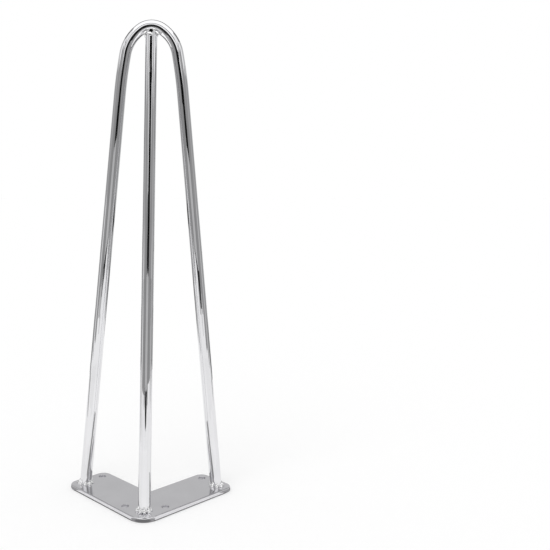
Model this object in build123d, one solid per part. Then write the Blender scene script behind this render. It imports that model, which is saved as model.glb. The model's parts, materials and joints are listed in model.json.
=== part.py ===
from build123d import *
import os
from math import acos, atan2, cos, degrees, radians, sin, sqrt

# Hairpin table leg: a bent rod and a straight rod, welded to a V-shaped mounting plate.
# Millimetres, +Z up. The leg stands on its mounting face, with the bend at the top.
# The origin is on the mounting face, midway between the two front screw holes.
# +Y runs along the mirror plane, from the plate's corner towards the open side of the V.
# +X runs along the line of the hairpin's two feet.

# Rods
ROD_DIAMETER = 10.0
LEG_HEIGHT = 400.0  # from the mounting face to the top of the bend

# Mounting plate, measured from the sharp corner where its two outer edges would meet
ARM_LENGTH = 102.0
ARM_WIDTH = 40.0
PLATE_THICKNESS = 4.0
CORNER_RADIUS = 14.0  # the V's outer corner
CROTCH_RADIUS = 4.0  # the V's inner corner
ARM_END_RADIUS = 8.0
EDGE_ROUND = 0.9  # all round both faces

# Screw holes
HOLE_DIAMETER = 6.0
HOLE_EDGE_DISTANCE = 8.0  # front holes, from the arm's outer edge
HOLE_LINE_DISTANCE = 31.0  # from an outer edge to the line of holes that runs beside it
HOLE_END_DISTANCE = 8.5  # rear holes, from the arm's end

# Where the rods stand on the plate
HAIRPIN_EDGE_DISTANCE = 12.5  # from the arm's outer edge
HAIRPIN_END_DISTANCE = 9.5  # from the arm's end
CENTRE_ROD_DISTANCE = 14.5  # from both outer edges

# The bend: radii are of the rod's centre line, turns are in degrees
BEND_OVERHANG = 32.0  # how far the bend stands behind the line of the hairpin's feet
CROWN_RADIUS = 16.0
CROWN_TURN = 35.0  # each way from the top
SHOULDER_RADIUS = 32.0
RUNOUT_RADIUS = 410.0  # the long easy curve from shoulder to straight leg
RUNOUT_TURN = 5.0

# The centre rod's shallow seat under the bend
SEAT_DEPTH = 0.8

# Weld beads: rings that fill the corners round the rods
BEAD_REACH = 1.9  # how far a bead stands out from its rod
BEAD_BULGE = 0.4  # how far a bead's face stands out from a straight slope
BEAD_FEATHER = 0.5  # how far inside its rod a bead's thin end would lie
FOOT_BEAD_RISE = 4.2  # from the plate to the thin end
BEND_BEAD_DROP = 6.4  # from the bend's centre line to the bead's widest ring
BEND_BEAD_RISE = 4.0  # from the widest ring to the thin end in the bend
BEND_BEAD_RUN = 4.4  # from the widest ring to the thin end on the centre rod

ROD_RADIUS = ROD_DIAMETER / 2
PLATE_TURN = 45.0  # the V's arms lie at this angle to the mirror plane
CORNER_SETBACK = (HOLE_EDGE_DISTANCE + HOLE_LINE_DISTANCE) / sqrt(2)
BEND_AXIS_HEIGHT = LEG_HEIGHT - ROD_RADIUS
PLATE_TOP = Plane.XY.offset(PLATE_THICKNESS)
PLATE_PLACE = Pos(0, -CORNER_SETBACK, 0) * Rot(0, 0, PLATE_TURN)


def on_plate(along_right, along_left, height=PLATE_THICKNESS):
    """A point given by its distances along the plate's two outer edges."""
    return (PLATE_PLACE * Pos(along_right, along_left, height)).position


HAIRPIN_ALONG = ARM_LENGTH - HAIRPIN_END_DISTANCE
RIGHT_FOOT = on_plate(HAIRPIN_ALONG, HAIRPIN_EDGE_DISTANCE)
LEFT_FOOT = on_plate(HAIRPIN_EDGE_DISTANCE, HAIRPIN_ALONG)
CENTRE_FOOT = on_plate(CENTRE_ROD_DISTANCE, CENTRE_ROD_DISTANCE)
FEET_MIDDLE = (RIGHT_FOOT + LEFT_FOOT) / 2
BEND_TOP = Vector(0, FEET_MIDDLE.Y + BEND_OVERHANG, BEND_AXIS_HEIGHT)
CENTRE_ROD_AXIS = (BEND_TOP - CENTRE_FOOT).normalized()


def mounting_plate():
    """The V-shaped plate: cut outline, softened edges, two front and two rear screw holes."""
    outline = FilletPolyline(
        (0, 0),
        (ARM_LENGTH, 0),
        (ARM_LENGTH, ARM_WIDTH),
        (ARM_WIDTH, ARM_WIDTH),
        (ARM_WIDTH, ARM_LENGTH),
        (0, ARM_LENGTH),
        radius=[CORNER_RADIUS, ARM_END_RADIUS, ARM_END_RADIUS, CROTCH_RADIUS, ARM_END_RADIUS, ARM_END_RADIUS],
        close=True,
    )
    plate = extrude(make_face(outline), PLATE_THICKNESS)
    faces = plate.faces().sort_by(Axis.Z)
    plate = fillet(faces[0].edges() + faces[-1].edges(), EDGE_ROUND)
    hole_along_end = ARM_LENGTH - HOLE_END_DISTANCE
    holes = Locations(
        (HOLE_LINE_DISTANCE, HOLE_EDGE_DISTANCE),
        (HOLE_EDGE_DISTANCE, HOLE_LINE_DISTANCE),
        (hole_along_end, HOLE_LINE_DISTANCE),
        (HOLE_LINE_DISTANCE, hole_along_end),
    )
    drill = Cylinder(HOLE_DIAMETER / 2, PLATE_THICKNESS, align=(Align.CENTER, Align.CENTER, Align.MIN))
    return PLATE_PLACE * (plate - holes * drill)


def outward(turn):
    """Unit direction in the hairpin's plane, at a turn in degrees from straight up towards the right."""
    return Vector(sin(radians(turn)), cos(radians(turn)))


def bend_arc(centre, radius, start, end):
    """An arc of the bend from one turn to another, both measured from straight up."""
    return CenterArc(centre, radius, 90 - start, start - end)


def hairpin_path():
    """The rod's centre line in its own leaning plane, with the feet's line as X and the bend above it."""
    rise = BEND_TOP - FEET_MIDDLE
    half_span = (RIGHT_FOOT - LEFT_FOOT).length / 2
    foot = Vector(half_span, 0)
    crown_centre = Vector(0, rise.length - CROWN_RADIUS)
    shoulder_centre = crown_centre + outward(CROWN_TURN) * (CROWN_RADIUS - SHOULDER_RADIUS)

    # The straight leg touches the run-out and passes through the foot
    to_foot = foot - shoulder_centre
    turn_cosine = cos(radians(RUNOUT_TURN))
    reach = RUNOUT_RADIUS + (SHOULDER_RADIUS - RUNOUT_RADIUS) * turn_cosine
    leg_turn = degrees(atan2(to_foot.X, to_foot.Y) - acos(reach / to_foot.length))
    shoulder_turn = leg_turn - RUNOUT_TURN
    runout_centre = shoulder_centre + outward(shoulder_turn) * (SHOULDER_RADIUS - RUNOUT_RADIUS)
    leg_top = runout_centre + outward(leg_turn) * RUNOUT_RADIUS
    below_foot = foot + (foot - leg_top).normalized() * ROD_DIAMETER

    right_side = [
        bend_arc(shoulder_centre, SHOULDER_RADIUS, CROWN_TURN, shoulder_turn),
        bend_arc(runout_centre, RUNOUT_RADIUS, shoulder_turn, leg_turn),
        Line(leg_top, below_foot),
    ]
    left_side = [mirror(edge, about=Plane.YZ) for edge in right_side]
    crown = bend_arc(crown_centre, CROWN_RADIUS, -CROWN_TURN, CROWN_TURN)
    leaning_plane = Plane(origin=FEET_MIDDLE, x_dir=(1, 0, 0), z_dir=Vector(1, 0, 0).cross(rise))
    return leaning_plane * Wire([edge.edge() for edge in [crown, *right_side, *left_side]])


def hairpin_rod(path):
    """The bent rod, cut off level with the plate's upper face."""
    section = Plane(origin=path @ 0, z_dir=path % 0) * Circle(ROD_RADIUS)
    return split(sweep(section, path=path), bisect_by=PLATE_TOP, keep=Keep.TOP)


def leg_axis(path, foot):
    """The upward direction of the hairpin's straight leg at one of its feet."""
    end = 0 if (path @ 0).X * foot.X > 0 else 1
    direction = path % end
    return direction if direction.Z > 0 else -direction


def centre_rod(hairpin):
    """The straight rod, cut off level with the plate and seated under the bend."""
    start = CENTRE_FOOT - CENTRE_ROD_AXIS * ROD_DIAMETER
    end = BEND_TOP - CENTRE_ROD_AXIS * (ROD_RADIUS - SEAT_DEPTH)
    rod = extrude(Plane(origin=start, z_dir=CENTRE_ROD_AXIS) * Circle(ROD_RADIUS), (end - start).length)
    return split(rod, bisect_by=PLATE_TOP, keep=Keep.TOP) - hairpin


def bead_slope(wide_centre, thin_centre):
    """The rings of a bead's bulging face, from its wide end to the thin end that dies into its rod."""
    wide_reach = ROD_RADIUS + BEAD_REACH
    thin_reach = ROD_RADIUS - BEAD_FEATHER
    bulge_reach = (wide_reach + thin_reach) / 2 + BEAD_BULGE
    bulge_centre = (wide_centre + thin_centre) / 2
    return [
        Pos(wide_centre) * Circle(wide_reach),
        Pos(bulge_centre) * Circle(bulge_reach),
        Pos(thin_centre) * Circle(thin_reach),
    ]


def foot_weld(foot, axis, rod):
    """The bead in the corner between the plate's upper face and a rod that rises along an axis."""
    thin_end = foot + axis * (FOOT_BEAD_RISE / axis.Z)
    return loft(bead_slope(foot, thin_end), ruled=True) - rod


def bend_weld(hairpin, straight):
    """The bead round the centre rod's upper end, against the bend."""
    widest = Vector(0, 0, -BEND_BEAD_DROP)
    in_bend = bead_slope(widest, widest + Vector(0, 0, BEND_BEAD_RISE))
    on_rod = bead_slope(widest, widest - Vector(0, 0, BEND_BEAD_RUN))
    rings = on_rod[::-1] + in_bend[1:]
    return Plane(origin=BEND_TOP, z_dir=CENTRE_ROD_AXIS) * loft(rings, ruled=True) - hairpin - straight


hairpin_line = hairpin_path()
hairpin = hairpin_rod(hairpin_line)
straight = centre_rod(hairpin)
beads = [foot_weld(foot, leg_axis(hairpin_line, foot), hairpin) for foot in (LEFT_FOOT, RIGHT_FOOT)]
beads += [foot_weld(CENTRE_FOOT, CENTRE_ROD_AXIS, straight), bend_weld(hairpin, straight)]
pieces = {
    "mounting_plate": mounting_plate(),
    "hairpin_rod": hairpin,
    "centre_rod": straight,
    "weld_beads": Part() + beads,
}

os.makedirs("parts", exist_ok=True)
for name, piece in pieces.items():
    export_step(piece, f"parts/{name}.step")
    print(f"{name}: {piece.volume:.0f} cubic mm, solids: {len(piece.solids())}")
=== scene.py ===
# %% [markdown]
# # A hairpin table leg in polished chrome
# The leg stands upside down on its mounting plate, with the bend at the top.
# The measured solids are loaded first and never change. They say where every surface has to be.
# Their meshes are coarse, though, and a mirror finish shows each flat facet as a stripe.
# So every piece is modelled again here with many small faces, in exactly the same place.

# %% Load the measured solids
import json
from math import acos, atan2, cos, hypot, pi, radians, sin
from random import Random

import bmesh
import bpy
from mathutils import Euler, Matrix, Vector

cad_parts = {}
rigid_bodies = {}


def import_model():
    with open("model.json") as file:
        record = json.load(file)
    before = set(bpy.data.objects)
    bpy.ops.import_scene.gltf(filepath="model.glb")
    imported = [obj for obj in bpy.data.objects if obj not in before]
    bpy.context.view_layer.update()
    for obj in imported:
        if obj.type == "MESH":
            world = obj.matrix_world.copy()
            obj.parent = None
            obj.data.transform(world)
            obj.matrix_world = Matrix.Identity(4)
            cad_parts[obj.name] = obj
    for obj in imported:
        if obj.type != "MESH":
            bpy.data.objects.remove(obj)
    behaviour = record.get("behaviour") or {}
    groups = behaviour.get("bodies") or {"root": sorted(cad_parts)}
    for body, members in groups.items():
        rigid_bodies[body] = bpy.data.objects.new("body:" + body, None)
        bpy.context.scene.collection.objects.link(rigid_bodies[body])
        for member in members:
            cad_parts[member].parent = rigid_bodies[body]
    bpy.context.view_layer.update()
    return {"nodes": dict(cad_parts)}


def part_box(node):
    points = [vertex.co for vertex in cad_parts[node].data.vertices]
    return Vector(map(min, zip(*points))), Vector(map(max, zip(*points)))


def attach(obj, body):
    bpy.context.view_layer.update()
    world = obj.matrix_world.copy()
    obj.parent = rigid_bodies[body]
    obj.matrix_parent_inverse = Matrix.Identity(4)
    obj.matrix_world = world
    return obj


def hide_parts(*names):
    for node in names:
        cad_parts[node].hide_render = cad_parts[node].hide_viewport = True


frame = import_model()
print("solids:", sorted(frame["nodes"]))

# %% [markdown]
# ## Sizes
# Blender works in metres and a metalworker in millimetres, so each size is a number of millimetres.
# A real leg is bent from 10 mm round bar, and the plate is cut from 4 mm flat steel.

# %% Sizes that the pieces share
MM = 0.001
ROD_RADIUS = 5.0 * MM
ROD_SIDES = 64
PLATE_TOP = 4.0 * MM
BEND_TOP = Vector((0.0, 78.669, 395.0)) * MM

print("top of the bend, mm:", round((BEND_TOP.z + ROD_RADIUS) / MM, 1))

# %% [markdown]
# ## The chrome finishes
# Chrome plate is a thin metal mirror, so its colour is nearly all reflection.
# Drawn bar keeps faint lines along its length under the plating, and the flat plate a faint roll grain.
# Stretched noise in object space gives both, as a very low bump and as small changes of roughness.
# The weld beads were left rough before plating, so their bump is stronger, and their small pits get painted
# shade as near-black spots.

# %% A recipe for chrome plate
DULL_TINT = 0.955
# Near black, painted as shade in the small pits of the welds.
PIT_SHADE_COLOUR = (0.02, 0.02, 0.02, 1.0)
PIT_EDGE = 0.03
BUMP_HEIGHT = 0.02 * MM
NOISE_LOW = 0.35
NOISE_HIGH = 0.65


def chrome(name, tint, grain, stretch, roughness, bump, blotch=35.0, pit_shade=None):
    """A mirror metal with stretched noise in its roughness, its tint and its surface.

    Above the level given for the pits, the blotch noise paints small near-black spots: painted shade in
    pits.
    """
    material = bpy.data.materials.new(name)
    material.use_nodes = True
    nodes, links = material.node_tree.nodes, material.node_tree.links
    shader = nodes["Principled BSDF"]
    shader.inputs["Metallic"].default_value = 1.0

    place = nodes.new("ShaderNodeTexCoord")
    scale = nodes.new("ShaderNodeMapping")
    scale.inputs["Scale"].default_value = stretch
    links.new(place.outputs["Object"], scale.inputs["Vector"])
    fine = nodes.new("ShaderNodeTexNoise")
    fine.inputs["Scale"].default_value = grain
    fine.inputs["Detail"].default_value = 4.0
    links.new(scale.outputs["Vector"], fine.inputs["Vector"])
    cloudy = nodes.new("ShaderNodeTexNoise")
    cloudy.inputs["Scale"].default_value = blotch
    cloudy.inputs["Detail"].default_value = 3.0
    links.new(place.outputs["Object"], cloudy.inputs["Vector"])

    tone = nodes.new("ShaderNodeValToRGB")
    tone.color_ramp.elements[0].position = NOISE_LOW
    tone.color_ramp.elements[0].color = [DULL_TINT * channel for channel in tint] + [1.0]
    tone.color_ramp.elements[1].position = NOISE_HIGH
    tone.color_ramp.elements[1].color = [*tint, 1.0]
    # Painted shade: where the blotch noise passes the level for pits, the tint turns near black.
    if pit_shade:
        tone.color_ramp.elements[1].position = pit_shade - PIT_EDGE
        tone.color_ramp.elements.new(pit_shade + PIT_EDGE).color = PIT_SHADE_COLOUR
    links.new(cloudy.outputs["Fac"], tone.inputs["Fac"])
    links.new(tone.outputs["Color"], shader.inputs["Base Color"])

    gloss = nodes.new("ShaderNodeMapRange")
    gloss.inputs["From Min"].default_value = NOISE_LOW
    gloss.inputs["From Max"].default_value = NOISE_HIGH
    gloss.inputs["To Min"].default_value = roughness[0]
    gloss.inputs["To Max"].default_value = roughness[1]
    links.new(fine.outputs["Fac"], gloss.inputs["Value"])
    links.new(gloss.outputs["Result"], shader.inputs["Roughness"])

    surface = nodes.new("ShaderNodeBump")
    surface.inputs["Strength"].default_value = bump
    surface.inputs["Distance"].default_value = BUMP_HEIGHT
    links.new(fine.outputs["Fac"], surface.inputs["Height"])
    links.new(surface.outputs["Normal"], shader.inputs["Normal"])
    return material


ALONG_BAR = (1.0, 1.0, 0.05)
ALL_WAYS = (1.0, 1.0, 1.0)
rod_chrome = chrome(
    "rod_chrome",
    tint=(0.80, 0.80, 0.815),
    grain=900.0,
    stretch=ALONG_BAR,
    roughness=(0.03, 0.07),
    bump=0.05,
)
plate_chrome = chrome(
    "plate_chrome",
    tint=(0.76, 0.755, 0.78),
    grain=700.0,
    stretch=ALL_WAYS,
    roughness=(0.10, 0.17),
    bump=0.06,
)
weld_chrome = chrome(
    "weld_chrome",
    tint=(0.95, 0.95, 0.955),
    grain=1400.0,
    stretch=ALL_WAYS,
    roughness=(0.03, 0.08),
    bump=0.2,
    blotch=700.0,
    pit_shade=0.70,
)
print("finishes:", rod_chrome.name, plate_chrome.name, weld_chrome.name)

# %% [markdown]
# ## Helpers
# Operators act on whatever is selected, so a new piece always starts with nothing selected.
# A shape is then worked on in edit mode, and its place ends up in its mesh.
# At the end, a piece is fixed to the body of the leg and takes the place of its coarse solid.

# %% Helpers for selecting


def deselect_objects():
    """Nothing is selected, so the next operator only touches what it adds."""
    bpy.ops.object.select_all(action="DESELECT")


def choose(piece):
    """Selects one piece alone and makes it the one that operators work on."""
    deselect_objects()
    piece.select_set(True)
    bpy.context.view_layer.objects.active = piece


def open_mesh(piece):
    """Goes into edit mode on one piece, with nothing in it selected."""
    choose(piece)
    bpy.ops.object.mode_set(mode="EDIT")
    bpy.ops.mesh.select_all(action="DESELECT")


def settle(piece):
    """Moves the object's own place, turn and scale into its mesh."""
    choose(piece)
    bpy.ops.object.transform_apply(location=True, rotation=True, scale=True)


# %% Helpers for finishing a piece


def cut_level():
    """Cuts the whole open mesh off level with the plate's upper face and closes the cut."""
    bpy.ops.mesh.select_all(action="SELECT")
    bpy.ops.mesh.bisect(plane_co=(0, 0, PLATE_TOP), plane_no=(0, 0, 1), use_fill=True, clear_inner=True)


def close_mesh():
    """Merges doubled points, turns every face outwards and leaves edit mode."""
    bpy.ops.mesh.select_all(action="SELECT")
    bpy.ops.mesh.remove_doubles(threshold=0.0005 * MM)
    bpy.ops.mesh.normals_make_consistent(inside=False)
    bpy.ops.object.mode_set(mode="OBJECT")


def apply_modifier(piece, name, kind, **settings):
    """Adds one modifier, sets it up and applies it."""
    choose(piece)
    modifier = piece.modifiers.new(name, kind)
    for key, value in settings.items():
        setattr(modifier, key, value)
    bpy.ops.object.modifier_apply(modifier=modifier.name)


def smooth(piece, angle):
    """Shades softly, but keeps edges that turn by more than an angle in degrees crisp."""
    choose(piece)
    bpy.ops.object.shade_smooth_by_angle(angle=radians(angle))


def hand_over(piece, node, finish):
    """Gives a piece its finish and puts it in the place of its coarse solid."""
    piece.data.materials.clear()
    piece.data.materials.append(finish)
    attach(piece, "root")
    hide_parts(node)
    low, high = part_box(node)
    points = [vertex.co for vertex in piece.data.vertices]
    own_low = [min(p[i] for p in points) for i in range(3)]
    own_high = [max(p[i] for p in points) for i in range(3)]
    gaps = [abs(a - b) / MM for a, b in zip([*own_low, *own_high], [*low, *high])]
    print(f"{piece.name}: {len(piece.data.polygons)} faces, within {max(gaps):.2f} mm of the solid's box")


# %% [markdown]
# ## The hairpin
# On the real leg this is one straight bar, bent round a former until both ends stand on the plate.
# A curve with a round bevel would give the shape too, but its rings bunch up where the radius changes.
# Bending is a turn about a centre, and Spin does just that: a circle is spun round one bend after another.
# Half of the bar is made upright, mirrored, leaned back, and cut level with the plate.

# %% Work out the bends of the hairpin
FEET_MIDDLE = Vector((0.0, 46.669, 4.0)) * MM
HALF_FEET_SPAN = 56.569 * MM
CROWN_RADIUS = 16.0 * MM
CROWN_TURN = radians(35.0)
SHOULDER_RADIUS = 32.0 * MM
RUNOUT_RADIUS = 410.0 * MM
RUNOUT_TURN = radians(5.0)


def outward(turn):
    """Direction in the hairpin's plane, turned from straight up towards the right."""
    return Vector((sin(turn), 0.0, cos(turn)))


rise = BEND_TOP - FEET_MIDDLE
right_foot = Vector((HALF_FEET_SPAN, 0.0, 0.0))
crown_centre = Vector((0.0, 0.0, rise.length - CROWN_RADIUS))
shoulder_centre = crown_centre + outward(CROWN_TURN) * (CROWN_RADIUS - SHOULDER_RADIUS)
to_foot = right_foot - shoulder_centre
reach = RUNOUT_RADIUS + (SHOULDER_RADIUS - RUNOUT_RADIUS) * cos(RUNOUT_TURN)
leg_turn = atan2(to_foot.x, to_foot.z) - acos(reach / to_foot.length)
shoulder_turn = leg_turn - RUNOUT_TURN
runout_centre = shoulder_centre + outward(shoulder_turn) * (SHOULDER_RADIUS - RUNOUT_RADIUS)
leg_top = runout_centre + outward(leg_turn) * RUNOUT_RADIUS
hairpin_lean = atan2(rise.y, rise.z)
print("straight part of each leg, mm:", round((right_foot - leg_top).length / MM, 1))

# %% Spin half of the bar and run it down to the foot
BEND_AXIS = (0.0, -1.0, 0.0)
SPARE_LENGTH = 4 * ROD_RADIUS

deselect_objects()
bpy.ops.mesh.primitive_circle_add(
    vertices=ROD_SIDES, radius=ROD_RADIUS, location=(0, 0, rise.length), rotation=(0, pi / 2, 0)
)
hairpin = bpy.context.object
hairpin.name = "bent_hairpin_rod"
settle(hairpin)
open_mesh(hairpin)
bpy.ops.mesh.select_all(action="SELECT")
for centre, turn, steps in (
    (crown_centre, CROWN_TURN, 28),
    (shoulder_centre, shoulder_turn - CROWN_TURN, 36),
    (runout_centre, RUNOUT_TURN, 10),
):
    bpy.ops.mesh.spin(steps=steps, angle=turn, center=centre, axis=BEND_AXIS)
down_leg = (right_foot - leg_top) * (1 + SPARE_LENGTH / (right_foot - leg_top).length)
bpy.ops.mesh.extrude_region_move(TRANSFORM_OT_translate={"value": down_leg})
bpy.ops.object.mode_set(mode="OBJECT")
print("half of the bar:", len(hairpin.data.polygons), "faces")

# %% Mirror the bar, lean it back and cut its feet level
apply_modifier(hairpin, "other_half", "MIRROR", use_axis=(True, False, False), merge_threshold=0.001 * MM)
hairpin.rotation_euler = (-hairpin_lean, 0.0, 0.0)
hairpin.location = FEET_MIDDLE
settle(hairpin)
open_mesh(hairpin)
cut_level()
close_mesh()
smooth(hairpin, angle=40)
hand_over(hairpin, "hairpin_rod", rod_chrome)

# %% [markdown]
# ## The centre rod
# A straight length of the same bar braces the hairpin from the plate's corner.
# Its top is ground to a shallow seat that takes the underside of the bend.
# The bar is a circle extruded along its own leaning axis. The bend itself then cuts the seat,
# with a Boolean, because that is the shape a fitter would grind to.

# %% Extrude the centre rod and cut its seat
CENTRE_FOOT = Vector((0.0, -7.071, 4.0)) * MM
SEAT_DEPTH = 0.8 * MM

centre_axis = (BEND_TOP - CENTRE_FOOT).normalized()
centre_lean = atan2(centre_axis.y, centre_axis.z)
rod_start = CENTRE_FOOT - centre_axis * 2 * ROD_RADIUS
rod_end = BEND_TOP - centre_axis * (ROD_RADIUS - SEAT_DEPTH)

deselect_objects()
bpy.ops.mesh.primitive_circle_add(
    vertices=ROD_SIDES,
    radius=ROD_RADIUS,
    fill_type="NGON",
    location=rod_start,
    rotation=(-centre_lean, 0, 0),
)
centre_rod = bpy.context.object
centre_rod.name = "straight_centre_rod"
settle(centre_rod)
open_mesh(centre_rod)
bpy.ops.mesh.select_all(action="SELECT")
bpy.ops.mesh.extrude_region_move(TRANSFORM_OT_translate={"value": rod_end - rod_start})
bpy.ops.mesh.select_all(action="SELECT")
bpy.ops.mesh.normals_make_consistent(inside=False)
cut_level()
close_mesh()
apply_modifier(centre_rod, "seat", "BOOLEAN", operation="DIFFERENCE", object=hairpin, solver="EXACT")
smooth(centre_rod, angle=30)
hand_over(centre_rod, "centre_rod", rod_chrome)

# %% [markdown]
# ## The mounting plate
# The plate is a V, cut from flat steel, with rounded corners, softened edges and four screw holes.
# A square at the corner of the V is extruded into two arms, and then upwards to its thickness.
# Edges are picked by a test on where their end points are.
# Each upright edge is bevelled to its own corner radius, as a cutter would round it.
# The holes are drilled with a Boolean, and Weighted Normal keeps the flat faces optically flat.

# %% Extrude the V and round its corners
ARM_LENGTH = 102.0 * MM
ARM_WIDTH = 40.0 * MM
CORNER_RADIUS = 14.0 * MM
CROTCH_RADIUS = 4.0 * MM
ARM_END_RADIUS = 8.0 * MM
EDGE_ROUND = 0.9 * MM
EDGE_SEGMENTS = 5
NEAR = 0.01 * MM


def pick_edges(piece, test):
    """Selects the edges of an open mesh whose end points pass a test, and counts them."""
    bpy.ops.mesh.select_all(action="DESELECT")
    bpy.ops.mesh.select_mode(type="EDGE")
    mesh = bmesh.from_edit_mesh(piece.data)
    chosen = [edge for edge in mesh.edges if test([vertex.co for vertex in edge.verts])]
    for edge in chosen:
        edge.select_set(True)
    bmesh.update_edit_mesh(piece.data)
    return len(chosen)


def right_side(points):
    """The square's right side, where one arm grows."""
    return all(abs(p.x - ARM_WIDTH) < NEAR for p in points)


def far_side(points):
    """The square's far side, where the other arm grows."""
    return all(abs(p.y - ARM_WIDTH) < NEAR and p.x < ARM_WIDTH + NEAR for p in points)


def upright_at(x, y):
    """A test for the upright edge above one point of the outline."""
    return lambda points: all(hypot(p.x - x, p.y - y) < NEAR for p in points)


def flat_at(level):
    """A test for an edge that lies flat at one level."""
    return lambda points: all(abs(p.z - level) < NEAR for p in points)


deselect_objects()
bpy.ops.mesh.primitive_plane_add(size=ARM_WIDTH, location=(ARM_WIDTH / 2, ARM_WIDTH / 2, 0))
plate = bpy.context.object
plate.name = "v_mounting_plate"
settle(plate)
open_mesh(plate)
pick_edges(plate, right_side)
bpy.ops.mesh.extrude_region_move(TRANSFORM_OT_translate={"value": (ARM_LENGTH - ARM_WIDTH, 0, 0)})
pick_edges(plate, far_side)
bpy.ops.mesh.extrude_region_move(TRANSFORM_OT_translate={"value": (0, ARM_LENGTH - ARM_WIDTH, 0)})
bpy.ops.mesh.select_all(action="SELECT")
bpy.ops.mesh.extrude_region_move(TRANSFORM_OT_translate={"value": (0, 0, PLATE_TOP)})
bpy.ops.mesh.select_all(action="SELECT")
bpy.ops.mesh.dissolve_limited(angle_limit=radians(1))
bpy.ops.mesh.normals_make_consistent(inside=False)
for x, y, radius, segments in (
    (0, 0, CORNER_RADIUS, 28),
    (ARM_LENGTH, 0, ARM_END_RADIUS, 18),
    (ARM_LENGTH, ARM_WIDTH, ARM_END_RADIUS, 18),
    (ARM_WIDTH, ARM_WIDTH, CROTCH_RADIUS, 14),
    (ARM_WIDTH, ARM_LENGTH, ARM_END_RADIUS, 18),
    (0, ARM_LENGTH, ARM_END_RADIUS, 18),
):
    found = pick_edges(plate, upright_at(x, y))
    bpy.ops.mesh.bevel(offset=radius, segments=segments, affect="EDGES", clamp_overlap=False)
    print("rounded", found, "corner at", round(x / MM), round(y / MM))
for level in (0.0, PLATE_TOP):
    pick_edges(plate, flat_at(level))
    bpy.ops.mesh.bevel(offset=EDGE_ROUND, segments=EDGE_SEGMENTS, affect="EDGES", clamp_overlap=False)
close_mesh()
print("plate blank:", len(plate.data.polygons), "faces")

# %% Drill the screw holes and turn the plate into place
HOLE_RADIUS = 3.0 * MM
HOLE_SIDES = 56
HOLE_EDGE_DISTANCE = 8.0 * MM
HOLE_LINE_DISTANCE = 31.0 * MM
HOLE_END_DISTANCE = 8.5 * MM
HOLE_ALONG_END = ARM_LENGTH - HOLE_END_DISTANCE
HOLE_DEBURR = 0.2 * MM
PLATE_TURN = radians(45)
CORNER_SETBACK = 27.577 * MM
hole_places = (
    (HOLE_LINE_DISTANCE, HOLE_EDGE_DISTANCE),
    (HOLE_EDGE_DISTANCE, HOLE_LINE_DISTANCE),
    (HOLE_ALONG_END, HOLE_LINE_DISTANCE),
    (HOLE_LINE_DISTANCE, HOLE_ALONG_END),
)


def on_hole_rim(points):
    """An edge of a hole's rim, on the plate's upper or lower face."""
    on_a_face = flat_at(0.0)(points) or flat_at(PLATE_TOP)(points)
    return on_a_face and any(
        all(abs(hypot(p.x - x, p.y - y) - HOLE_RADIUS) < NEAR for p in points) for x, y in hole_places
    )


deselect_objects()
bpy.ops.mesh.primitive_cylinder_add(vertices=HOLE_SIDES, radius=HOLE_RADIUS, depth=4 * PLATE_TOP)
drill = bpy.context.object
for x, y in hole_places:
    drill.location = (x, y, 0)
    bpy.context.view_layer.update()
    apply_modifier(plate, "hole", "BOOLEAN", operation="DIFFERENCE", object=drill, solver="EXACT")
bpy.data.objects.remove(drill)
open_mesh(plate)
print("hole rims:", pick_edges(plate, on_hole_rim), "edges")
bpy.ops.mesh.bevel(offset=HOLE_DEBURR, segments=3, affect="EDGES", clamp_overlap=False)
close_mesh()
plate.rotation_euler = (0, 0, PLATE_TURN)
plate.location = (0, -CORNER_SETBACK, 0)
settle(plate)
smooth(plate, angle=40)
apply_modifier(plate, "flat_faces", "WEIGHTED_NORMAL", keep_sharp=True)
hand_over(plate, "mounting_plate", plate_chrome)

# %% [markdown]
# ## The weld beads
# Each rod was welded all round by hand, in short touches, so a bead is a ring of small overlapping lumps.
# A torus pushed about by noise would look like dough. Lumps laid one after another look like a weld.
# One lump is modelled, then copied round each foot in a low row and a smaller row above it.
# Under the bend the two rows leave a gap in front, which a few flat touches fill one by one.
# A voxel remesh melts the lumps into one skin, and two rounds of smoothing leave the ripples.

# %% Shape one touch of weld metal
LUMP_SHAPE = (1.0, 0.8, 1.0)

deselect_objects()
bpy.ops.mesh.primitive_uv_sphere_add(segments=20, ring_count=14, radius=1.0)
lump = bpy.context.object
open_mesh(lump)
bpy.ops.mesh.select_all(action="SELECT")
bpy.ops.transform.resize(value=LUMP_SHAPE)
bpy.ops.object.mode_set(mode="OBJECT")
print("one touch of weld:", len(lump.data.polygons), "faces")

# %% Lay rows of touches round each rod
bead_draw = Random(11)
TO_RIGHT = Vector((1, 0, 0))
SPACING_CHANGE = 0.25
SMALLEST_TOUCH = 0.78
LARGEST_TOUCH = 1.16
OUT_CHANGE = 0.3
LIFT_CHANGE = 0.35
FOOT_TOUCHES = 9
FRONT_GAP = radians(60)
# Rise above the plate, ring and lump radius in millimetres, height over width, shift to the front
FOOT_ROWS = (
    (0.1, 5.2, 2.1, 0.95, Vector((0, -0.9, 0))),
    (1.9, 4.4, 1.4, 1.3, Vector((0, 0, 0))),
)
# Drop below the bend's centre line, number of touches, ring and lump radius, height over width
BEND_ROWS = (
    (5.6, 8, 4.9, 2.4, 1.1),
    (8.6, 9, 4.6, 1.6, 1.0),
)


def lay_touch(place, turn, size):
    """A copy of the lump with a mesh of its own."""
    touch = lump.copy()
    touch.data = lump.data.copy()
    bpy.context.scene.collection.objects.link(touch)
    touch.location = place
    touch.rotation_euler = turn
    touch.scale = size
    return touch


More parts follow.
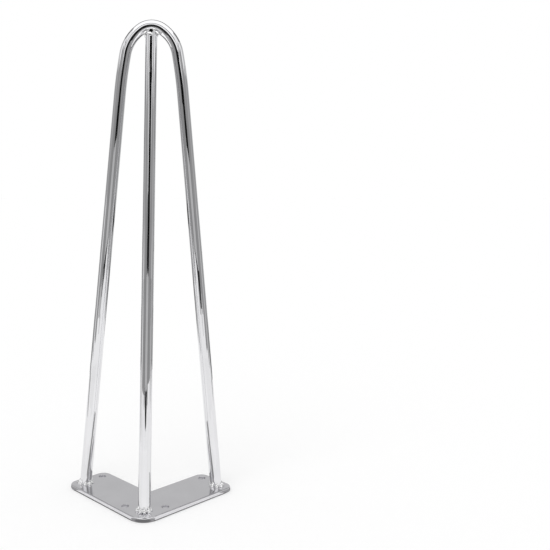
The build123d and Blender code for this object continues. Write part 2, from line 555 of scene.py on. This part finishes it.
def lay_row(middle, axis, count, ring, size, tall, front_gap=0.0):
    """Copies the lump round an axis, each copy a little different in size and place.

    front_gap leaves out the copies whose direction is within this angle of straight ahead.
    """
    front = axis.cross(TO_RIGHT).normalized()
    row = []
    for number in range(count):
        angle = 2 * pi * (number + bead_draw.uniform(-SPACING_CHANGE, SPACING_CHANGE)) / count
        grown = size * bead_draw.uniform(SMALLEST_TOUCH, LARGEST_TOUCH)
        towards = TO_RIGHT * cos(angle) + front * sin(angle)
        if -towards.y > cos(front_gap):
            continue
        out = ring + bead_draw.uniform(-OUT_CHANGE, OUT_CHANGE) * MM
        lift = bead_draw.uniform(-LIFT_CHANGE, LIFT_CHANGE) * MM
        place = middle + towards * out + axis * lift
        turn = (0, 0, atan2(towards.y, towards.x))
        row.append(lay_touch(place, turn, (grown, grown, grown * tall)))
    return row


straight_leg = right_foot - leg_top
straight_leg.rotate(Euler((-hairpin_lean, 0, 0)))
right_axis = -straight_leg.normalized()
left_axis = Vector((-right_axis.x, right_axis.y, right_axis.z))
touches = []
for foot, axis in (
    (FEET_MIDDLE - right_foot, left_axis),
    (FEET_MIDDLE + right_foot, right_axis),
    (CENTRE_FOOT, centre_axis),
):
    for above, ring, size, tall, shift in FOOT_ROWS:
        middle = foot + shift * MM + axis * above * MM
        touches += lay_row(middle, axis, FOOT_TOUCHES, ring * MM, size * MM, tall)
for drop, count, ring, size, tall in BEND_ROWS:
    middle = BEND_TOP - centre_axis * drop * MM
    touches += lay_row(middle, centre_axis, count, ring * MM, size * MM, tall, FRONT_GAP)
print("touches in rows:", len(touches))

# %% Fill the front of the bend's weld, touch by touch
forwards = centre_axis.cross(-TO_RIGHT).normalized()
# Place to the right, in front and below the bend's centre line, radii, and turns in degrees
for across, ahead, drop, size, turn in (
    (0.3, 5.5, 6.9, (2.2, 0.45, 2.3), (13, 12, 6)),
    (-2.6, 4.5, 5.2, (1.9, 0.9, 1.0), (8, 28, -18)),
    (2.8, 4.5, 5.2, (1.8, 0.9, 1.0), (8, -24, 18)),
    (-0.9, 5.6, 9.3, (2.4, 0.8, 1.4), (-16, 10, 0)),
    (-5.2, 3.4, 7.6, (1.3, 0.8, 2.4), (-20, 30, -25)),
    (5.2, 3.4, 7.8, (1.3, 0.8, 2.4), (-20, -30, 25)),
):
    place = BEND_TOP - centre_axis * drop * MM + forwards * ahead * MM + Vector((across * MM, 0, 0))
    touches.append(lay_touch(place, [radians(angle) for angle in turn], Vector(size) * MM))
bpy.data.objects.remove(lump)
print("touches of weld:", len(touches))

# %% Melt the touches into beads
VOXEL = 0.2 * MM

deselect_objects()
for touch in touches:
    touch.select_set(True)
bpy.context.view_layer.objects.active = touches[0]
bpy.ops.object.transform_apply(location=True, rotation=True, scale=True)
bpy.ops.object.join()
beads = bpy.context.object
beads.name = "weld_bead_rings"
apply_modifier(beads, "melt", "REMESH", mode="VOXEL", voxel_size=VOXEL)
apply_modifier(beads, "flow", "SMOOTH", factor=0.5, iterations=2)
open_mesh(beads)
cut_level()
close_mesh()
smooth(beads, angle=60)
hand_over(beads, "weld_beads", weld_chrome)

# %% [markdown]
# ## The studio
# A mirror has no look of its own: it shows the room. The room is a white floor under a white sky.
# The sky and a broad sun lamp together light the floor at strength 1, and the leg leaves a soft shadow.
# The lamp gives that shadow a side. It is kept out of the reflections, where it would be a hard disc.
# The camera and the mirrors see the sky as plain white. The paper glows a little, so it is white too.

# %% A white sky
scene = bpy.context.scene
scene.view_settings.view_transform = "Standard"
SKY_LEVEL = 0.82
WHITE = (1, 1, 1, 1)


def sees_white(nodes, links):
    """One for rays that should see plain white: from the camera, mirrored or passed through."""
    path = nodes.new("ShaderNodeLightPath")
    brightest = path.outputs["Is Camera Ray"]
    for kind in ("Is Glossy Ray", "Is Transmission Ray"):
        either = nodes.new("ShaderNodeMath")
        either.operation = "MAXIMUM"
        links.new(brightest, either.inputs[0])
        links.new(path.outputs[kind], either.inputs[1])
        brightest = either.outputs[0]
    return brightest


sky = bpy.data.worlds.new("white_sky")
scene.world = sky
sky.use_nodes = True
sky_nodes, sky_links = sky.node_tree.nodes, sky.node_tree.links
sky_strength = sky_nodes.new("ShaderNodeMapRange")
sky_strength.inputs["To Min"].default_value = SKY_LEVEL
sky_links.new(sees_white(sky_nodes, sky_links), sky_strength.inputs["Value"])
sky_links.new(sky_strength.outputs["Result"], sky_nodes["Background"].inputs["Strength"])
sky_nodes["Background"].inputs["Color"].default_value = WHITE
print("sky:", sky.name, "at", SKY_LEVEL, "as a light")

# %% A floor of white paper and a broad lamp
FLOOR_SIZE = 40.0
PAPER = 0.75
LAMP_LEVEL = 0.18
LAMP_TILT = radians(35)
LAMP_SIDE = radians(-25)
LAMP_SPREAD = radians(50)

deselect_objects()
bpy.ops.mesh.primitive_plane_add(size=FLOOR_SIZE)
floor = bpy.context.object
floor.name = "studio_floor"
paper = bpy.data.materials.new("white_paper")
paper.use_nodes = True
paper_nodes, paper_links = paper.node_tree.nodes, paper.node_tree.links
sheet = paper_nodes["Principled BSDF"]
sheet.inputs["Base Color"].default_value = (PAPER, PAPER, PAPER, 1)
sheet.inputs["Roughness"].default_value = 1.0
sheet.inputs["Specular IOR Level"].default_value = 0.0
sheet.inputs["Emission Color"].default_value = WHITE
paper_glow = paper_nodes.new("ShaderNodeMath")
paper_glow.operation = "MULTIPLY"
paper_glow.inputs[1].default_value = 1.0 - PAPER
paper_links.new(sees_white(paper_nodes, paper_links), paper_glow.inputs[0])
paper_links.new(paper_glow.outputs[0], sheet.inputs["Emission Strength"])
floor.data.materials.append(paper)

lamp = bpy.data.lights.new("broad_lamp", "SUN")
lamp.angle = LAMP_SPREAD
lamp.energy = LAMP_LEVEL * pi / cos(LAMP_TILT)
lamp_holder = bpy.data.objects.new("broad_lamp", lamp)
lamp_holder.rotation_euler = (LAMP_TILT, 0, LAMP_SIDE)
lamp_holder.visible_glossy = False
scene.collection.objects.link(lamp_holder)
print("floor level:", round(PAPER * (SKY_LEVEL + LAMP_LEVEL) + 1 - PAPER, 2))

# %% [markdown]
# ## Cards for the chrome to reflect
# Under a white sky alone, chrome turns into white plaster. A photographer puts grey and black cards
# round a bright metal piece, out of the picture, and the dark lines they draw are what reads as chrome.
# Each card is a plain flat panel that only reflections can see, so it throws no shadow and no light.
# A one-sided card is clear from behind. It can stand between two rods and be seen by one of them only.

# %% A recipe for cards
WALL = 1.1
UPRIGHT = (pi / 2, 0, 0)
UPRIGHT_ACROSS = (pi / 2, 0, pi / 2)
FLAT = (0, 0, 0)


def glowing(panel, name, grey, one_sided=False):
    """Turns a panel into a card of one grey that only reflections can see, from its front or both sides."""
    panel.name = "card_" + name
    tone = bpy.data.materials.new("card_" + name)
    tone.use_nodes = True
    nodes, links = tone.node_tree.nodes, tone.node_tree.links
    nodes.clear()
    output = nodes.new("ShaderNodeOutputMaterial")
    glow = nodes.new("ShaderNodeEmission")
    glow.inputs["Color"].default_value = WHITE
    glow.inputs["Strength"].default_value = grey
    links.new(glow.outputs["Emission"], output.inputs["Surface"])
    if one_sided:
        facing = nodes.new("ShaderNodeNewGeometry")
        clear = nodes.new("ShaderNodeBsdfTransparent")
        either = nodes.new("ShaderNodeMixShader")
        links.new(facing.outputs["Backfacing"], either.inputs["Fac"])
        links.new(glow.outputs["Emission"], either.inputs[1])
        links.new(clear.outputs["BSDF"], either.inputs[2])
        links.new(either.outputs["Shader"], output.inputs["Surface"])
    panel.data.materials.clear()
    panel.data.materials.append(tone)
    panel.visible_camera = False
    panel.visible_diffuse = False
    panel.visible_shadow = False


def card(name, middle, size, turn, grey, one_sided=False):
    """A flat panel, turned from lying flat. All card sizes are in metres."""
    deselect_objects()
    bpy.ops.mesh.primitive_plane_add(size=1.0, rotation=turn, location=middle)
    panel = bpy.context.object
    panel.scale = (size[0], size[1], 1.0)
    glowing(panel, name, grey, one_sided)
    return panel


def wall_card(name, side, span, heights, grey, distance=WALL):
    """A card on one wall of the room: span runs along the wall and heights up it."""
    along, height = sum(span) / 2, sum(heights) / 2
    size = (span[1] - span[0], heights[1] - heights[0])
    away = distance if side in ("right", "back") else -distance
    if side in ("left", "right"):
        return card(name, (away, along, height), size, UPRIGHT_ACROSS, grey)
    return card(name, (along, away, height), size, UPRIGHT, grey)


def count_cards():
    """The number of cards so far."""
    return len([thing for thing in scene.objects if thing.name.startswith("card_")])


print("cards:", count_cards())

# %% Hang the cards on the walls
BLACK = 0.006
BEHIND_WALL = 1.14
BEFORE_WALL = 1.09

# Each card has its wall, its span along it and its heights, its grey, and its distance if it is not WALL
wall_card("front_light", "front", (-0.40, 0.44), (0.272, 0.56), 0.54)
wall_card("front_dark", "front", (-0.30, 0.50), (0.56, 0.665), BLACK)
wall_card("front_glow", "front", (-0.30, 0.12), (0.86, 1.12), 1.25)
wall_card("front_line", "front", (-0.62, 0.66), (1.18, 1.42), 0.03)
wall_card("front_fill", "front", (-1.2, 1.2), (0.262, 0.80), 0.29, BEHIND_WALL)
for side, span in (("left", (-1.2, -0.42)), ("right", (0.52, 1.2))):
    wall_card("front_" + side, "front", span, (0.80, 1.0), 0.40, BEHIND_WALL)
    wall_card("front_high_" + side, "front", span, (1.0, 1.28), 0.56, BEHIND_WALL)
    wall_card("table_edge_" + side, "front", span, (0.225, 0.262), 0.35)
    wall_card(side + "_near", side, (-1.14, -0.30), (0.10, 1.12), 0.33)
    wall_card(side + "_line", side, (-1.14, -0.45), (1.24, 1.38), 0.30)
    wall_card(side + "_middle", side, (-0.30, 0.25), (0.05, 0.80), 0.44)
    wall_card(side + "_far", side, (0.25, 1.10), (0.0, 0.74), 0.36)
    wall_card(side + "_far_mid", side, (0.25, 1.10), (0.74, 1.25), 0.62)
    wall_card(side + "_far_high", side, (0.25, 1.20), (1.25, 1.9), 0.20)
wall_card("left_strip", "left", (-0.30, 0.05), (0.08, 0.42), 0.80, BEFORE_WALL)
wall_card("right_strip", "right", (-0.26, 0.03), (0.08, 0.42), 0.60, BEFORE_WALL)
wall_card("back_fill", "back", (-1.1, 1.1), (0.0, 1.0), 0.60)
wall_card("back_high", "back", (-1.2, 1.2), (1.0, 2.1), 0.12)
print("cards:", count_cards())

# %% Lay grey cards on the floor beside and behind the leg
# Each card has its middle, its size, its turn and its grey
card("left_floor", (-0.80, 0.50, 0.0005), (0.60, 1.2), FLAT, 0.50)
card("right_floor", (0.86, 0.60, 0.0005), (0.48, 1.0), FLAT, 0.50)
card("left_back_floor", (-0.675, 0.775, 0.0006), (0.85, 0.65), FLAT, 0.20)
card("right_back_floor", (0.675, 0.775, 0.0006), (0.85, 0.65), FLAT, 0.20)
print("cards:", count_cards())

# %% [markdown]
# ## Cards that draw tapering lines
# A straight card gives a line of one width. On the real leg the black lines run to a point,
# as a table's edge does when it is seen along its length, so one edge of a card is scaled towards a point.
# A flag and a slat close to the bend draw its black band, and two lower cards the shade under its crown.

# %% Shape the dark cards near the bend


def taper(panel, test, narrow, centre):
    """Narrows one edge of a card towards a point."""
    settle(panel)
    open_mesh(panel)
    pick_edges(panel, test)
    bpy.ops.transform.resize(value=(narrow, 1, 1), center_override=centre)
    bpy.ops.object.mode_set(mode="OBJECT")


def all_below(height):
    """A test for an edge that lies below a height."""
    return lambda points: all(p.z < height for p in points)


def all_behind(depth):
    """A test for an edge that lies behind a line across the room."""
    return lambda points: all(p.y > depth for p in points)


table_edge = card("table_edge", (0.04, -WALL, 0.229), (0.92, 0.086), UPRIGHT, 0.02)
taper(table_edge, all_below(0.2), 0.42, (0.16, -WALL, 0.186))
bend_flag = card("bend_flag", (0.0, 0.0, 0.373), (0.054, 0.052), UPRIGHT, BLACK)
taper(bend_flag, all_below(0.36), 0.35, (0.0, 0.0, 0.347))
bend_slat = card("bend_slat", (0.0585, -0.1925, 0.398), (0.329, 0.475), FLAT, BLACK)
taper(bend_slat, all_behind(0.04), 0.055, (-0.0025, 0.045, 0.398))
card("bend_patch", (0.036, 0.0, 0.398), (0.012, 0.026), FLAT, BLACK)
crown_shade = card("crown_shade", (0.0, -0.39, 0.36), (1.0, 0.72), FLAT, 0.05, one_sided=True)
taper(crown_shade, all_behind(-0.1), 0.15, (0.0, -0.03, 0.36))
card("crown_shade_near", (0.0, 0.0, 0.36), (0.15, 0.06), FLAT, 0.34, one_sided=True)
print("cards:", count_cards())

# %% [markdown]
# ## Cards for the shoulders of the bend
# The inner side of each shoulder looks down and across.
# Flat strips at half height give it a grey and a dark band.
# Two tiny bright cards beside the centre rod give the thin white line on the inside of the bend.

# %% Lay strips of card under the shoulders
STRIP_LEVEL = 0.2
INNER_LEVEL = 0.3815
INNER_LENGTH = 0.012
INNER_GLOW = 1.2

for name, middle, size, grey in (
    ("right_grey", (0.605, -0.520), (0.767, 0.862), 0.46),
    ("right_dark", (0.580, 0.228), (0.876, 0.241), 0.06),
    ("left_grey", (-0.640, -0.444), (0.740, 0.740), 0.48),
    ("left_dark", (-0.604, 0.381), (0.888, 0.392), 0.08),
):
    card("shoulder_" + name, (*middle, STRIP_LEVEL), size, FLAT, grey, one_sided=True)
for name, place, width, facing in (
    ("left", (-0.0085, 0.0737, INNER_LEVEL), 0.0026, -pi / 2),
    ("right", (0.0085, 0.0748, INNER_LEVEL), 0.0034, pi / 2),
):
    turn = (pi / 2, 0, facing)
    card(f"inner_{name}_light", place, (width, INNER_LENGTH), turn, INNER_GLOW, one_sided=True)
print("cards:", count_cards())

# %% [markdown]
# ## Slips of card close to the rods
# Half way down, the dark lines end in short wedges that differ from rod to rod.
# A card on a wall would draw the same line on every rod.
# A slip of card close to one rod shows in that rod alone.
# Near the feet, the chrome shows a darker streak on the side that looks over the plate.
# A slip that leans beside each foot and faces it draws that streak.

# %% Stand small slips in front of the rods
# Span across and heights, grey, depth into the room, and how narrow the lower edge becomes
for name, span, heights, grey, depth, narrow in (
    ("left_leg_wide", (-0.080, -0.036), (0.148, 0.177), 0.54, 0.015, 0.6),
    ("left_leg_dark", (-0.055, -0.034), (0.166, 0.192), 0.16, 0.016, 0.4),
    ("left_leg_low", (-0.051, -0.037), (0.132, 0.150), 0.64, 0.015, 0.4),
    ("right_leg_inner", (0.027, 0.042), (0.150, 0.180), 0.42, 0.015, 0.6),
    ("right_leg_dark", (0.035, 0.064), (0.157, 0.192), 0.03, 0.016, 0.5),
    ("right_leg_outer", (0.056, 0.078), (0.153, 0.172), 0.46, 0.015, 0.6),
    ("right_leg_low", (0.044, 0.056), (0.132, 0.158), 0.64, 0.015, 0.4),
    ("centre_left", (-0.200, -0.034), (0.050, 0.100), 0.95, -0.040, 1.0),
    ("centre_right", (0.036, 0.200), (0.050, 0.110), 0.97, -0.040, 1.0),
):
    slip = wall_card("slip_" + name, "front", span, heights, grey, -depth)
    taper(slip, all_below(heights[0] + NEAR), narrow, (sum(span) / 2, depth, heights[0]))
print("cards:", count_cards())

# %% Lean slips beside the feet


def slip_between(name, low, high, facing, width, grey):
    """A narrow card from one point to another, in millimetres, seen only from the side of a third point."""
    low, high, facing = (Vector(point) * MM for point in (low, high, facing))
    middle = (low + high) / 2
    length = high - low
    across = length.cross(facing - middle).normalized()
    turn = Matrix((across, length.normalized(), across.cross(length).normalized())).transposed().to_euler()
    card(name, middle, (width * MM, length.length), turn, grey, one_sided=True)


slip_between("left_foot_shade", (-48, 23.5, 5), (-28, 42.5, 60), (-52, 44.5, 35), 9.0, 0.30)
slip_between("right_foot_shade", (45.5, 24.5, 5), (29.5, 40, 54), (52, 44.5, 33), 9.0, 0.29)
slip_between("centre_foot_right", (23, -1.5, 5), (23.8, -0.7, 30), (4, -5, 20), 6.0, 0.36)
print("cards:", count_cards())

# %% [markdown]
# ## Painted contact shadow under the plate
# Where the plate rests on the floor, its lower edge mirrors a dark line of contact shadow, which is painted
# here.
# A copy of the plate, flattened and grown a little, lies under it as a near-black card of painted shade
# that only reflections see.
# Wider holes are punched in it, so that the screw holes still show the bright floor.
# Small grey cards of painted shade soften the line at the three corners.

# %% Lay the painted shade under the plate
SHADE_SHEET_GROWTH = 1.035
SHADE_SHEET_FLATTEN = 0.01
SHADE_SHEET_LIFT = 0.00005
GROWTH_CENTRE = 0.025
PUNCH_SIDES = 32
UPPER_SHADE_CARD = 0.0002
LOWER_SHADE_CARD = 0.0001
TIP_REACH = 0.072

# Painted contact shadow: a near-black copy of the plate, seen only in reflections, lies under it.
deselect_objects()
contact_shade = bpy.data.objects.new("painted_contact_shadow", plate.data.copy())
scene.collection.objects.link(contact_shade)
contact_shade.scale = (SHADE_SHEET_GROWTH, SHADE_SHEET_GROWTH, SHADE_SHEET_FLATTEN)
contact_shade.location = (0, (1 - SHADE_SHEET_GROWTH) * GROWTH_CENTRE, SHADE_SHEET_LIFT)
settle(contact_shade)
deselect_objects()
bpy.ops.mesh.primitive_cylinder_add(vertices=PUNCH_SIDES, radius=2 * HOLE_RADIUS, depth=PLATE_TOP)
punch = bpy.context.object
for x, y in hole_places:
    spot = Vector((x, y, 0))
    spot.rotate(Euler((0, 0, PLATE_TURN)))
    punch.location = spot - Vector((0, CORNER_SETBACK, 0))
    bpy.context.view_layer.update()
    apply_modifier(contact_shade, "hole", "BOOLEAN", operation="DIFFERENCE", object=punch, solver="EXACT")
bpy.data.objects.remove(punch)
glowing(contact_shade, "painted_contact_shadow", 0.02)
# Grey patches of painted shade in front of the corner and at the tips of the arms, seen only in
# reflections.
card("corner_shade", (0, -0.0265, UPPER_SHADE_CARD), (0.018, 0.010), FLAT, 0.20)
card("corner_soft_shade", (0, -0.0265, LOWER_SHADE_CARD), (0.030, 0.016), FLAT, 0.36)
for side in (-1, 1):
    card("tip_shade", (side * TIP_REACH, 0.051, UPPER_SHADE_CARD), (0.007, 0.014), FLAT, 0.20)
    card("tip_soft_shade", (side * TIP_REACH, 0.048, LOWER_SHADE_CARD), (0.012, 0.032), FLAT, 0.40)
print("cards:", count_cards())

# %% [markdown]
# ## Bright cards
# The weld beads are small round mirrors. Low white cards in front of the feet give them their sparkle.
# A bright panel overhead gives the top of the bend its clean white edge.

# %% Stand bright cards in front of the feet and hang one overhead
BEAD_LIGHT = 1.04
BEAD_LIGHT_MIDDLE = 0.0325
BEAD_LIGHT_HEIGHT = 0.055
OVERHEAD_LIGHT = 1.3

for name, x, y, width in (
    ("front", 0.0, -0.12, 0.20),
    ("left", -0.137, -0.03, 0.124),
    ("right", 0.137, -0.03, 0.124),
):
    card("bead_light_" + name, (x, y, BEAD_LIGHT_MIDDLE), (width, BEAD_LIGHT_HEIGHT), UPRIGHT, BEAD_LIGHT)
card("overhead_light", (0, -0.2, 1.7), (2.0, 1.8), FLAT, OVERHEAD_LIGHT)
print("cards:", count_cards())

# %% [markdown]
# ## The camera
# The camera's place, tilt and focal length were worked out from the rods, the plate's edges and the holes.
# The leg stands left of the middle of the picture.
# A shift of the lens puts it there without turning the camera.

# %% Set up the camera where the photographer stood
PICTURE = 550.0
FOCAL_PIXELS = 734.44
PRINCIPAL_X = 186.0
SENSOR = 36.0
CAMERA_PLACE = Vector((58.09, -562.96, 257.47)) * MM
CAMERA_TURN = (radians(90 - 6.675), 0, radians(2.568))

camera_data = bpy.data.cameras.new("camera")
camera_data.sensor_width = SENSOR
camera_data.lens = camera_data.sensor_width * FOCAL_PIXELS / PICTURE
camera_data.shift_x = (PICTURE / 2 - PRINCIPAL_X) / PICTURE
camera = bpy.data.objects.new("camera", camera_data)
camera.location = CAMERA_PLACE
camera.rotation_euler = CAMERA_TURN
scene.collection.objects.link(camera)
scene.camera = camera
print("lens, mm:", round(camera_data.lens, 1))
